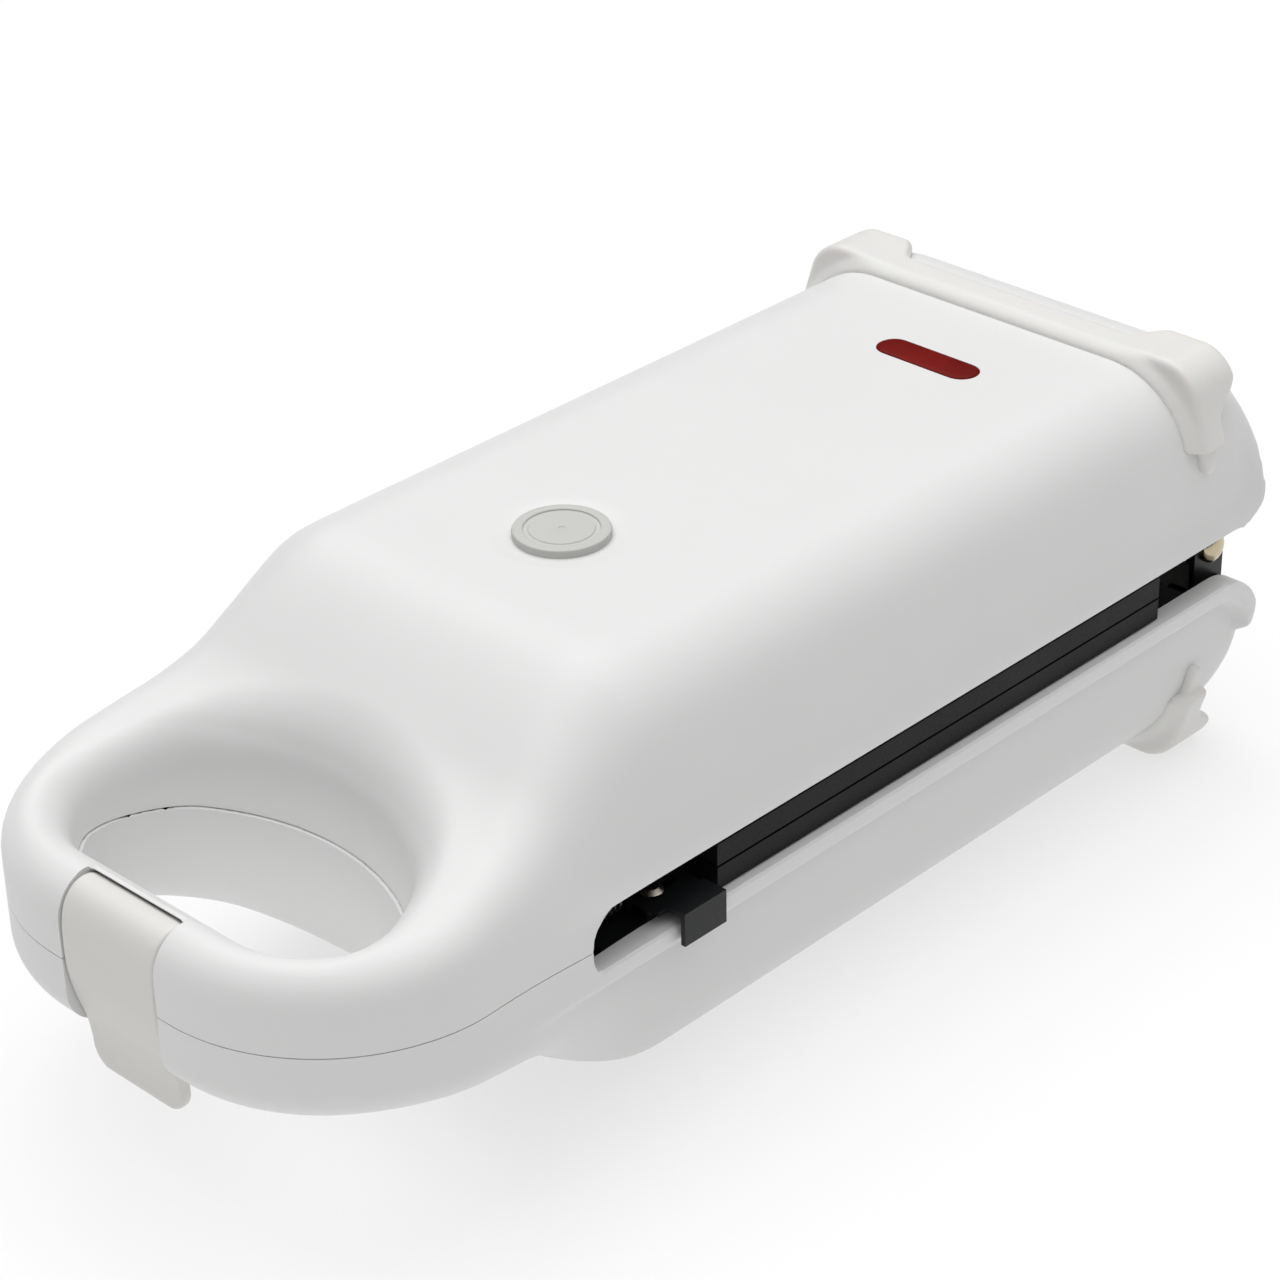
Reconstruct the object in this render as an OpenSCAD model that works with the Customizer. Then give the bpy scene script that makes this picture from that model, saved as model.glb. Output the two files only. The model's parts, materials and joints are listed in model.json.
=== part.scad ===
// Clamshell sandwich and waffle maker for one slice, with removable plates and a loop handle.
// Frame: +Z up, -Y towards the handle, +X to the user's right, origin on the ground below the middle.
// Both halves are drawn as the upper half, from the parting plane upwards. The base turns half a
// turn about the long axis, which puts its latch on the right and the lid's on the left.

/* [Overall] */
// Length from the front of the handle to the rear wall
body_len = 314; // [306:1:380]
// Width over the rims
rim_w = 130; // [126:1:160]
// Height of both halves closed, without feet
body_h = 104; // [100:1:126]
// Moulded wall of the two shells
wall = 2.5; // [1.8:0.1:3]
// Gap between a half's edge and the parting plane
seam = 0.25; // [0.2:0.05:0.5]

/* [Shell] */
// How far the side walls stand in from the rims
rim_flare = 4; // [2:0.5:5]
// Widening of the side walls from the top fillet down to the parting plane
draft = 1; // [0:0.1:1.5]
// Rounding of the long top edges
body_r = 24; // [16:1:26]
// Rounding of the rear edge seen from the side
rear_r = 15; // [12:1:18]
// Height of the flared band above the rim
flare_h = 8; // [5:1:10]
// Lid edge above the parting plane
lid_rim = 7.4; // [6.8:0.1:9]
// Lid edge above the parting plane at the rear wall
lid_rear_rim = 16.5; // [15:0.5:18]
// Base edge below the parting plane
base_rim = 6.2; // [6.1:0.1:8]
// Base edge below the parting plane at the rear wall
base_rear_rim = 18.6; // [18.2:0.1:20]

/* [Handle] */
// Height of a handle half at its crest
handle_h = 19; // [17:1:24]
// Rounding of the handle's edges
edge_r = 10; // [6:1:12]
// Half of the straight front edge of the handle
nose_flat = 18.5; // [16:0.5:24]
// Depth of the front bar of the handle, front to back
bar_d = 15; // [14:1:20]
// Length of the finger opening, across the handle
grip_w = 94; // [80:1:98]
// Depth of the finger opening, front to back
grip_d = 48; // [36:1:48]
// Taper of the finger opening from the crest to the parting plane
grip_taper = 2; // [0:0.5:3]
// Distance from the front to the foot of the slope
slope_foot = 35; // [30:1:40]
// Distance from the front to the knee in the slope
slope_knee = 67; // [60:1:72]
// Height of the knee in the slope
knee_h = 28.5; // [25:0.5:32]
// Distance from the front to the flat top
slope_top = 98; // [90:1:104]
// Distance from the front to the side gap
handle_len = 76; // [72:1:84]

/* [Hinge] */
// Distance of the hinge axis from the rear wall
hinge_back = 10; // [9:0.5:14]
// Radius of the hinge pins
pin_r = 3; // [2:0.1:3.5]
// Running clearance of the lid ears on the pins, on the radius
pin_clear = 0.05; // [0.02:0.01:0.1]
// Radius of the rounded ear around the pin
ear_r = 6; // [5.5:0.1:6.4]
// Thickness of the steel ears
ear_t = 1.5; // [1:0.1:2]
// Distance of the base ears' outer faces from the rims
ear_in = 9; // [8.5:0.5:12]
// Radius of the domed pin heads
pin_head_r = 4.2; // [3.6:0.1:5]

/* [Plates] */
// Length of a baking plate
plate_len = 158; // [140:1:170]
// Distance of a plate's edge from the rims
plate_in = 2.5; // [2:0.5:5]
// Distance from the hinge axis to the plates
plate_back = 30; // [28:1:40]
// Half of the gap between the closed plates
plate_gap = 0.3; // [0.2:0.1:0.6]
// Depth of the outer skirt of a plate
skirt_h = 5.4; // [4:0.1:5.6]
// Wall thickness of a plate
plate_t = 2.5; // [2:0.1:3]
// Distance from a plate's edge to its pocket
pocket_in = 13; // [12:0.5:16]
// Depth of the pocket
pocket_d = 9.7; // [8:0.1:10]
// Height of the waffle pegs
peg_h = 4.4; // [3:0.1:5]
// Width of a waffle peg
peg_w = 9; // [6:0.5:10]
// Distance from peg to peg
peg_pitch = 16; // [14:0.5:20]

/* [Heating] */
// Radius of the tubular heater
heater_r = 3.2; // [2.5:0.1:3.5]
// Half of the distance between the heater's legs
heater_half = 28; // [20:1:34]
// Depth of the heat pan behind the inner cover
pan_d = 17; // [15:1:17]
// Sheet thickness of the heat pan
pan_t = 0.8; // [0.5:0.1:1]

/* [Clip] */
// Width of the front clip
clip_w = 29.7; // [24:0.1:32]
// Thickness of the clip
clip_t = 2.6; // [2:0.1:3]
// Height of the clip's axle above the parting plane
axle_up = 11; // [10.5:0.1:12]
// Distance of the clip's axle from the front
axle_back = 6.5; // [6:0.1:7]
// Radius of the clip's axle
axle_r = 1.5; // [1:0.1:1.8]
// Gap around the clip in its recess
clip_clear = 0.45; // [0.3:0.05:0.8]
// Reach of the clip's finger tab below the parting plane
clip_drop = 28.5; // [26:0.5:32]

/* [Plate latch] */
// Travel of a plate latch
latch_travel = 5; // [4:0.5:6]
// Thickness of the latch slide
latch_t = 1.2; // [1:0.1:1.4]
// Length of the finger tab along the rim
tab_len = 13; // [10:1:15]
// Distance of the finger tab outside the rim
tab_out = 1.6; // [1:0.1:2.5]
// Radius of the shoulder rivets
rivet_r = 1.5; // [1.2:0.1:1.8]
// Coil radius of the latch spring
coil_r = 2.3; // [1.8:0.1:2.4]
// Wire diameter of the latch spring
wire_d = 0.6; // [0.4:0.1:0.8]

/* [Feet and lens] */
// Distance from the front to the round front foot
foot_from_front = 134; // [110:1:150]
// Radius of the round foot
foot_r = 11.2; // [9:0.1:14]
// How far the lid's foot stands proud
lid_foot_h = 1.3; // [0.8:0.1:3]
// Height of the rear stand rail's shoulders, and of the base's foot
stand_h = 3; // [2:0.1:4]
// Width of the rear stand rail
rail_w = 11; // [8:0.5:13]
// Distance from the rear wall to the rail's rear edge
rail_back = 18; // [16:1:26]
// Length of the indicator lens
lens_len = 29.5; // [20:0.5:34]
// Width of the indicator lens
lens_w = 9; // [6:0.5:12]
// Distance of the lens from the rear wall
lens_back = 58.4; // [52:0.1:70]
// Offset of the lens to the right
lens_x = 4; // [0:0.5:8]

/* [Cord gland] */
// Radius of the cord's passage
cord_r = 3.5; // [3:0.1:4]
// Distance of the cord gland below the parting plane
gland_down = 32; // [30:0.5:34]

/* [Hidden] */
$fn = 48;

white = "#ececea";
satin_black = "#232325";
steel = "#b9babb";

// ---- places along the body
mid_z = body_h / 2 + stand_h;
half_h = body_h / 2;
y_front = -body_len / 2;
y_rear = body_len / 2;
hinge_y = y_rear - hinge_back;
gap_y = y_front + handle_len;
plate_y1 = hinge_y - plate_back;
plate_y0 = plate_y1 - plate_len;
foot_y = y_front + foot_from_front;
lens_y = y_rear - lens_back;
rail_y1 = y_rear - rail_back;
rail_y0 = rail_y1 - rail_w;
grip_y = y_front + bar_d + grip_d / 2;

// ---- widths
half_rim = rim_w / 2;
side_half = half_rim - rim_flare;
nose_r = half_rim - 0.5 - nose_flat;
nose_y = y_front + nose_r;
plate_half = half_rim - plate_in;
pocket_half = plate_half - pocket_in;
tub_half = pocket_half + plate_t;

// ---- levels above the parting plane
cover_t = 2;
cover_z = 8;
grip_cover_z = seam + 1.65;
shelf_z = base_rear_rim + 0.4;
plate_floor = plate_gap + pocket_d + plate_t;
pan_z = cover_z + cover_t + 0.2;
heater_z = plate_floor + 0.3 + heater_r;
slide_z = 1.8;
slide_y0 = plate_y0 - 19;
slide_y1 = plate_y0 - 4;
rivet_y = plate_y0 - 14;
guide_z = slide_z + latch_t + 3.6;
axle_y = y_front + axle_back;
cover_gap = 0.5;
rear_step_y = hinge_y - ear_r - 6;
gland_r = cord_r + 2.1;
gland_len = 8;

// ================= outlines =================

function ramp(t) = let (u = max(0, min(1, t))) u * u * (3 - 2 * u);

// Rounds corner b between a and c with radius r, in n steps, and gives [point, outward direction].
function corner(a, b, c, r, n) =
    let (u = (a - b) / norm(a - b), v = (c - b) / norm(c - b))
    let (half = acos(u * v) / 2, bis = (u + v) / norm(u + v))
    let (centre = b + bis * r / sin(half), turn = sign(u.x * v.y - u.y * v.x))
    let (start = b + u * r / tan(half) - centre, sweep = -turn * (180 - 2 * half))
    [for (i = [0:n])
        let (t = sweep * i / n)
        let (d = [start.x * cos(t) - start.y * sin(t), start.x * sin(t) + start.y * cos(t)])
        [centre + d, turn * d / r]];

// Crest of the upper half along Y, from the front to the rear: [y, height].
crest_corners = [
    [y_front, 0], [y_front, handle_h], [y_front + slope_foot, handle_h + 0.6],
    [y_front + slope_knee, knee_h], [y_front + slope_top, half_h], [y_rear, half_h], [y_rear, 0]
];
crest_radii = [0, edge_r, 60, 25, 20, rear_r];
crest_steps = [0, 6, 3, 4, 5, 7];
crest_arcs = [for (i = [1:5]) corner(crest_corners[i - 1], crest_corners[i], crest_corners[i + 1],
                                      crest_radii[i], crest_steps[i])];
// Points that keep the front corners of the handle round, between its edge and the slope.
crest_nose = let (a = crest_arcs[0][crest_steps[1]], b = crest_arcs[1][0])
    [for (t = [0.2, 0.45, 0.75]) [a[0] + (b[0] - a[0]) * t, a[1]]];
crest = concat(crest_arcs[0], crest_nose, [for (i = [1:4]) each crest_arcs[i]]);
function crest_in(d) = [for (c = crest) c[0] - d * c[1]];

// How much of the body's form, against the handle's, the section at y has.
function body_share(y) = ramp((y - y_front - slope_foot) / (slope_top - slope_foot));
function side_at(y) = nose_flat + nose_r + (side_half - nose_flat - nose_r) * body_share(y);
// Outward turn of the rear lip at y.
function lip_out(y) = rim_flare * pow(max(0, 1 - (y_rear - y) / flare_h), 2);
function nose_in(y, d) =
    y < nose_y ? nose_r - d - sqrt(max(0, pow(nose_r - d, 2) - pow(nose_y - y, 2))) : 0;
function half_w(y, d) = side_at(y) + lip_out(y) - d - nose_in(y, d);
function fillet_at(y) = edge_r + (body_r - edge_r) * body_share(y) + lip_out(y);

// Section of the upper half at y: height h, inset d.
function section(y, h, d) =
    let (w = half_w(y, d), r = min(fillet_at(y) - d, h - 1, w - 1))
    let (low = w + draft * (1 - lip_out(y) / rim_flare))
    concat([[-low, 0]],
        [for (i = [0:6]) [-w + r - r * cos(i * 15), h - r + r * sin(i * 15)]],
        [for (i = [6:-1:0]) [w - r + r * cos(i * 15), h - r + r * sin(i * 15)]],
        [[low, 0]]);

// Plan outline of the inside, inset d.
function plan(d) =
    let (c = crest_in(d))
    concat([for (p = c) [half_w(p.x, d), p.x]],
        [for (i = [len(c) - 1:-1:0]) [-half_w(c[i].x, d), c[i].x]]);

// Section of the flared band above a rim at height rim.
function flare_section(rim, s) =
    let (w = half_rim, low = rim + 1.6, high = rim + flare_h * s)
    [[-w, 0], [-w, low], [-w + rim_flare + 0.6, high], [w - rim_flare - 0.6, high], [w, low], [w, 0]];

// Solid through convex outlines that have the same number of points: [y, outline].
module loft(rings) {
    n = len(rings[0][1]);
    for (i = [0:len(rings) - 2])
        hull() polyhedron(
            [for (j = [i, i + 1], p = rings[j][1]) [p.x, rings[j][0], p.y]],
            concat([[for (k = [0:n - 1]) k]], [[for (k = [2 * n - 1:-1:n]) k]],
                [for (k = [0:n - 1])
                    let (m = (k + 1) % n)
                    each [[k, n + k, m], [m, n + k, n + m]]]));
}
module along_x(w) rotate([90, 0, 90]) linear_extrude(w, center = true) children();
module to_place() translate([0, 0, mid_z]) children();
module turned() rotate([0, 180, 0]) children();
module both_sides() for (s = [0, 1]) mirror([s, 0, 0]) children();

module half_solid(d)
    loft([for (c = crest_in(d)) [c.x, section(c.x, c.y, d)]]);

module flare_band(rim) {
    y0 = gap_y - 24;
    loft([for (y = [y0, y0 + 12, y0 + 24, y_rear]) [y, flare_section(rim, ramp((y - y0 + 4) / 28))]]);
}

// The finger opening, grown by d.
module grip(d) {
    end_r = grip_d / 2;
    hull()
        for (s = [-1, 1])
            translate([s * (grip_w / 2 - end_r), grip_y, -1])
                cylinder(r1 = end_r + d - grip_taper, r2 = end_r + d, h = handle_h + 16);
}

// Outline, seen from the side, of what is open between the parting plane and a half's edge.
function side_gap(rim, front_step, rear_rim) = [
    [gap_y, -1], [gap_y, seam + 1], [gap_y + 1.5, 5], [gap_y + front_step, rim],
    [y_rear - 14, rim], [y_rear - 6, rim + 0.3 * (rear_rim - rim)],
    [y_rear - 1.5, rim + 0.8 * (rear_rim - rim)], [y_rear, rear_rim], [y_rear + 1, rear_rim],
    [y_rear + 1, -1]
];

// lean: how far the clip's recess follows the clip's inward slope, 0 or 1.
module shell(rim, gap, lean) {
    difference() {
        union() {
            difference() {
                union() {
                    half_solid(0);
                    flare_band(rim);
                }
                difference() {
                    half_solid(wall);
                    grip(wall);
                }
            }
            clip_recess_wall(lean);
            for (p = screw_places)
                screw_boss(p);
        }
        grip(0);
        translate([-rim_w, -body_len, -half_h]) cube([2 * rim_w, 2 * body_len, half_h + seam]);
        along_x(2 * rim_w) polygon(gap);
        clip_recess(lean);
        translate([0, foot_y, half_h - 1.2]) cylinder(r = foot_r + 0.2, h = 4);
        translate([0, foot_y, half_h - 8]) cylinder(r = 3.1, h = 8);
    }
}

// ---- screw places: [x, y, level of the cover there]
screw_places = [
    for (s = [-1, 1]) each [
        [s * (nose_flat + 9.5), y_front + bar_d / 2 + 0.5, grip_cover_z],
        [s * (half_rim - 8.5), y_front + 49, grip_cover_z],
        [s * (side_half - 30), plate_y0 - 15, cover_z],
        [s * (side_half - 25), plate_y1 + 9, cover_z]
    ]
];
screw_r = 1.5;
function roof_at(y) = lookup(y, [for (c = crest_in(wall)) [c.x, c.y]]);
module screw_boss(p) {
    top = p.z + cover_t + 0.1;
    difference() {
        translate([p.x, p.y, top]) cylinder(r = 3.4, h = roof_at(p.y) + 0.6 - top);
        translate([p.x, p.y, top - 1]) cylinder(r = screw_r, h = 9.2);
    }
}
module screw(p) {
    translate([p.x, p.y, p.z - 1.4]) cylinder(r1 = 2.2, r2 = 3, h = 1.4);
    translate([p.x, p.y, p.z - 0.1]) cylinder(r = screw_r - 0.05, h = cover_t + 7.5);
}

// ================= clip and its recess =================

recess_half = clip_w / 2 + clip_clear;
recess_d = clip_t + 0.8;
lug_x = recess_half + wall + 0.3;
// Back of the clip's recess seen from the side, moved back by d.
function recess_line(lean, d) = [
    for (p = [[0, -1], [0, 1], [0.4, 4], [1.9, 10.8], [3.3, 15], [4.4, 20], [5, 26]])
        [y_front + recess_d + lean * p.x + d, p.y]];
module clip_recess_wall(lean)
    intersection() {
        half_solid(0);
        translate([0, 0, seam]) along_x(2 * (recess_half + wall))
            polygon(concat([[y_front - 1, -1]], recess_line(lean, 1.2), [[y_front - 1, 26]]));
        translate([-rim_w, y_front, seam]) cube([2 * rim_w, bar_d, handle_h - edge_r + 5]);
    }
module clip_recess(lean)
    along_x(2 * recess_half)
        polygon(concat([[y_front - 1, -1]], recess_line(lean, 0), [[y_front - 1, 26]]));
module clip_pivot_recess()
    translate([-recess_half, axle_y, axle_up]) {
        rotate([0, 90, 0]) cylinder(r = axle_back - 0.1, h = 2 * recess_half);
        translate([0, -axle_back, 0]) cube([2 * recess_half, axle_back + 5.4, handle_h]);
    }

// Outer line of the clip seen from the side, from its top edge down to the tip.
clip_line = [
    [axle_y + 2, handle_h - 2.2], [axle_y - 2, handle_h - 2.8], [y_front + 1.7, axle_up + 1.6],
    [y_front + 0.2, axle_up - 4], [y_front, 0], [y_front + 0.4, -4], [y_front + 2, -10.8],
    [y_front + 3.5, -15], [y_front + 4.4, -20], [y_front + 5, -24], [y_front + 4.6, -clip_drop]
];
clip_inside = [
    [y_front + clip_t + 4.4, -clip_drop], [y_front + clip_t + 4.7, -22],
    [y_front + clip_t + 3.3, -15], [y_front + clip_t + 1.9, -10.8], [y_front + clip_t + 0.4, -4],
    [y_front + clip_t, 0], [y_front + clip_t, axle_up - 5], [axle_y, axle_up - 3.6],
    [axle_y + 3.6, axle_up], [axle_y + 3.4, axle_up + 2.6]
];

module front_clip()
    color("#d8d6d2") to_place()
        difference() {
            along_x(clip_w) polygon(concat(clip_line, clip_inside));
            translate([-clip_w, axle_y, axle_up]) rotate([0, 90, 0])
                cylinder(r = axle_r + pin_clear, h = 2 * clip_w);
            for (s = [-1, 1])
                translate([s * clip_w / 2, y_front, -clip_drop]) rotate([-90, 0, 0])
                    rotate([0, 0, 45]) cube([6, 6, 40], center = true);
        }

module clip_axle()
    color(steel) to_place() translate([-lug_x - 3, axle_y, axle_up]) rotate([0, 90, 0])
        cylinder(r = axle_r, h = 2 * lug_x + 6);

// ================= shells =================

module base_shell()
    color(white) to_place() turned()
        difference() {
            shell(base_rim, side_gap(base_rim, 4, base_rear_rim), 1);
            translate([0, y_rear - wall - 1, gland_down]) rotate([-90, 0, 0])
                cylinder(r = gland_r + 0.1, h = wall + 2);
        }

module lid_shell()
    color(white) to_place()
        difference() {
            shell(lid_rim, side_gap(lid_rim, 6, lid_rear_rim), 0);
            clip_pivot_recess();
            translate([lens_x, lens_y, half_h - 4]) linear_extrude(8)
                pill(lens_len + 0.3, lens_w + 0.3);
        }

module pill(l, w) {
    square([l - w, w], center = true);
    for (s = [-1, 1])
        translate([s * (l - w) / 2, 0]) circle(d = w);
}

// ================= inner covers =================

cover_in = wall + draft + 0.4;
module cover_body() {
    depth = shelf_z + 10;
    difference() {
        intersection() {
            translate([0, 0, seam]) linear_extrude(depth) polygon(plan(cover_in));
            along_x(2 * rim_w) polygon(cover_line);
        }
        grip_column(wall + 0.4);
        translate([-tub_half - 0.6, plate_y0 + pocket_in - plate_t - 0.6, 0])
            cube([2 * tub_half + 1.2, plate_len - 2 * (pocket_in - plate_t) + 1.2, depth]);
        for (p = screw_places)
            translate([p.x, p.y, p.z - 1]) cylinder(r = screw_r, h = cover_t + 2);
        translate([-lug_x - 0.1, y_front, 0]) cube([2 * lug_x + 0.2, recess_d + 1.8, depth]);
    }
}
// The finger opening without its taper, grown by d, for the covers.
module grip_column(d) {
    end_r = grip_d / 2 - grip_taper + 0.6;
    translate([-grip_w / 2 + grip_d / 2, grip_y, 0]) cylinder(r = end_r + d, h = 60);
    translate([grip_w / 2 - grip_d / 2, grip_y, 0]) cylinder(r = end_r + d, h = 60);
    translate([-grip_w / 2 + grip_d / 2, grip_y - end_r - d, 0])
        cube([grip_w - grip_d, 2 * (end_r + d), 60]);
}

step_y = gap_y + 2;
cover_line = [
    [y_front, grip_cover_z], [step_y, grip_cover_z], [step_y, cover_z], [rear_step_y, cover_z],
    [rear_step_y, shelf_z], [y_rear, shelf_z], [y_rear, shelf_z + cover_t],
    [rear_step_y - cover_t, shelf_z + cover_t], [rear_step_y - cover_t, cover_z + cover_t],
    [step_y - cover_t, cover_z + cover_t], [step_y - cover_t, grip_cover_z + cover_t],
    [y_front, grip_cover_z + cover_t]
];

module base_inner_cover() color(satin_black) to_place() turned() cover_body();
module lid_inner_cover()
    color(satin_black) to_place() {
        cover_body();
        both_sides() axle_lug();
    }
module axle_lug()
    translate([lug_x, 0, 0])
        difference() {
            union() {
                translate([0, axle_y - 3.2, grip_cover_z + 0.5])
                    cube([3, 6.4, axle_up - grip_cover_z - 0.5]);
                translate([0, axle_y, axle_up]) rotate([0, 90, 0]) cylinder(r = 3.2, h = 3);
            }
            translate([-1, axle_y, axle_up]) rotate([0, 90, 0]) cylinder(r = axle_r, h = 5);
        }

// ================= feet, rails, lens =================

rail_lift = 2.6;
shoulder = 11;
module stand_rail() {
    band_z = half_h - body_r + 3;
    difference() {
        union() {
            translate([0, rail_y1, 0]) rotate([90, 0, 0]) linear_extrude(rail_w)
                polygon(section(rail_y0, half_h + rail_lift, -rail_lift));
            both_sides() translate([side_half - 6 - shoulder, rail_y1 - 4, half_h - 10])
                cube([shoulder, shoulder, stand_h + 10]);
        }
        translate([0, rail_y1 + shoulder - 1, 0]) rotate([90, 0, 0])
            linear_extrude(rail_w + shoulder + 4)
                polygon(section(rail_y0, half_h + 0.12, -0.12));
        translate([-rim_w, rail_y0 - 5, -1]) cube([2 * rim_w, rail_w + 20, band_z + 1]);
        both_sides() translate([side_half + rail_lift + draft, rail_y0 - 1, band_z - 4])
            rotate([0, -18, 0]) cube([6, rail_w + 2, 9]);
    }
}
module lid_stand_rail() color("#e6e4df") to_place() stand_rail();
module base_stand_rail() color("#e6e4df") to_place() turned() stand_rail();

module front_foot(proud)
    translate([0, foot_y, 0])
        difference() {
            union() {
                translate([0, 0, half_h - 1.15]) cylinder(r = foot_r, h = 1.15 + proud);
                translate([0, 0, half_h - 6]) cylinder(r = 3, h = 5);
                translate([0, 0, half_h - 6]) cylinder(r1 = 3, r2 = 4.4, h = 2.4);
            }
            translate([0, 0, half_h + proud - 0.5])
                difference() {
                    cylinder(r = foot_r - 1.6, h = 2);
                    translate([0, 0, -1]) cylinder(r = foot_r - 4, h = 4);
                }
        }
module lid_front_foot() color("#cfcfc9") to_place() front_foot(lid_foot_h);
module base_front_foot() color("#cfcfc9") to_place() turned() front_foot(stand_h);

module indicator_lens()
    color("#a01712") to_place() translate([lens_x, lens_y, half_h]) {
        translate([0, 0, -wall - 0.1]) linear_extrude(wall + 0.6) pill(lens_len, lens_w);
        translate([0, 0, -wall - 1.3]) linear_extrude(1.25) pill(lens_len + 3, lens_w + 3);
    }

module lamp_holder()
    color("#e8e2d0") to_place() translate([lens_x, lens_y, half_h - wall - 14])
        difference() {
            linear_extrude(12.6) pill(lens_len + 6, lens_w + 6);
            translate([0, 0, 1.6]) linear_extrude(12) pill(lens_len + 3.2, lens_w + 3.2);
        }
module indicator_lamps()
    color("#ff9a5a") to_place() translate([lens_x, lens_y, half_h - wall - 8])
        for (s = [-1, 1])
            translate([s * 8 - 5, 0, 0]) rotate([0, 90, 0]) {
                cylinder(r = 2.2, h = 10);
                translate([0, 0, -0.8]) cylinder(r = 0.4, h = 0.8);
            }

// ================= plates =================

peg_nx = floor((2 * pocket_half - 6 - peg_w) / peg_pitch);
peg_ny = floor((plate_len - 2 * pocket_in - 6 - peg_w) / peg_pitch);
lug_z = slide_z + latch_t + 0.4;
module plate() {
    tub_y0 = plate_y0 + pocket_in - plate_t;
    tub_len = plate_len - 2 * (pocket_in - plate_t);
    difference() {
        union() {
            translate([-plate_half, plate_y0, plate_gap])
                difference() {
                    cube([2 * plate_half, plate_len, skirt_h]);
                    translate([plate_t, plate_t, plate_t])
                        cube([2 * (plate_half - plate_t), plate_len - 2 * plate_t, skirt_h]);
                }
            translate([-tub_half, tub_y0, plate_gap])
                cube([2 * tub_half, tub_len, pocket_d + plate_t]);
        }
        translate([-pocket_half, plate_y0 + pocket_in, -1])
            cube([2 * pocket_half, plate_len - 2 * pocket_in, pocket_d + plate_gap + 1]);
    }
    for (i = [0:peg_nx], j = [0:peg_ny])
        translate([(i - peg_nx / 2) * peg_pitch - peg_w / 2,
                   plate_y0 + plate_len / 2 + (j - peg_ny / 2) * peg_pitch - peg_w / 2,
                   plate_gap + pocket_d - peg_h])
            cube([peg_w, peg_w, peg_h + 0.5]);
    translate([-half_rim + 21, plate_y0 - 4, lug_z]) cube([12, 5, 2.2]);
    for (s = [-1, 1])
        translate([s * (tub_half - 12) - 6, plate_y1 - 1, lug_z]) cube([12, 4, 2.2]);
}
module upper_plate() color(satin_black) to_place() plate();
module lower_plate() color(satin_black) to_place() turned() plate();

// ================= heating =================

pan_half = tub_half + 1.4;
pan_y0 = plate_y0 + pocket_in - plate_t - 1.4;
pan_len = plate_len - 2 * (pocket_in - plate_t) + 2.8;
module heat_pan()
    translate([0, pan_y0, pan_z])
        difference() {
            union() {
                translate([-pan_half - pan_t, -pan_t, 0])
                    cube([2 * (pan_half + pan_t), pan_len + 2 * pan_t, pan_d]);
                translate([-pan_half - 2, -4, 0]) cube([2 * pan_half + 4, pan_len + 8, pan_t]);
            }
            translate([-pan_half, 0, -1]) cube([2 * pan_half, pan_len, pan_d - pan_t + 1]);
            for (s = [-1, 1])
                translate([s * heater_half, pan_len - 4, heater_z - pan_z]) rotate([-90, 0, 0])
                    cylinder(r = heater_r + 0.4, h = 10);
        }
module lid_heat_pan() color(steel) to_place() heat_pan();
module base_heat_pan() color(steel) to_place() turned() heat_pan();

heater_end = plate_y1 - 1;
heater_bend = plate_y0 + pocket_in + 8 + heater_half;
module heater() {
    translate([0, 0, heater_z]) {
        for (s = [-1, 1])
            translate([s * heater_half, heater_bend, 0]) rotate([-90, 0, 0]) {
                cylinder(r = heater_r, h = heater_end - heater_bend);
                translate([0, 0, heater_end - heater_bend]) cylinder(r = 1.1, h = 5);
            }
        translate([0, heater_bend, 0]) rotate([0, 0, 180]) rotate_extrude(angle = 180)
            translate([heater_half, 0]) circle(r = heater_r);
    }
}
module lid_heater() color("#6f6b66") to_place() heater();
module base_heater() color("#6f6b66") to_place() turned() heater();

module heater_clamps()
    for (y = [heater_bend + 10, heater_end - 30]) {
        translate([-heater_half - 7, y, heater_z + heater_r + 0.1])
            cube([2 * heater_half + 14, 6, 1]);
        for (s = [-1, 1])
            translate([s * (heater_half + 6.5) - 0.5, y, heater_z + heater_r + 0.1])
                cube([1, 6, pan_z + pan_d - pan_t - heater_z - heater_r - 0.15]);
    }
module lid_heater_clamps() color(steel) to_place() heater_clamps();
module base_heater_clamps() color(steel) to_place() turned() heater_clamps();

pan_back = pan_z + pan_d;
module thermostat()
    color("#c9a24b") to_place() turned() translate([0, plate_y0 + plate_len / 2, pan_back + 0.1]) {
        cylinder(r = 8, h = 5);
        translate([0, 0, 5]) cylinder(r = 5.5, h = 3);
        for (s = [-1, 1])
            translate([s * 6 - 2.5, -2, 3.5]) cube([5, 4, 0.8]);
        translate([-12, -3, 0]) cube([24, 6, 0.8]);
    }
module thermal_fuse()
    color("#d8d2c2") to_place() turned()
        translate([18, plate_y0 + plate_len / 2 - 14, pan_back + 2.6]) rotate([-90, 0, 0]) {
            cylinder(r = 2.2, h = 12);
            translate([0, 0, -6]) cylinder(r = 0.6, h = 24);
        }

block_z = shelf_z + cover_t + 1;
block_y = rear_step_y + 2;
module terminal_block()
    color("#e6e0cc") to_place() turned() translate([14, block_y, block_z])
        difference() {
            cube([26, 13, 12]);
            for (i = [0:2])
                translate([5 + i * 8, -1, 6]) rotate([-90, 0, 0]) cylinder(r = 1.8, h = 15);
        }

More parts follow.
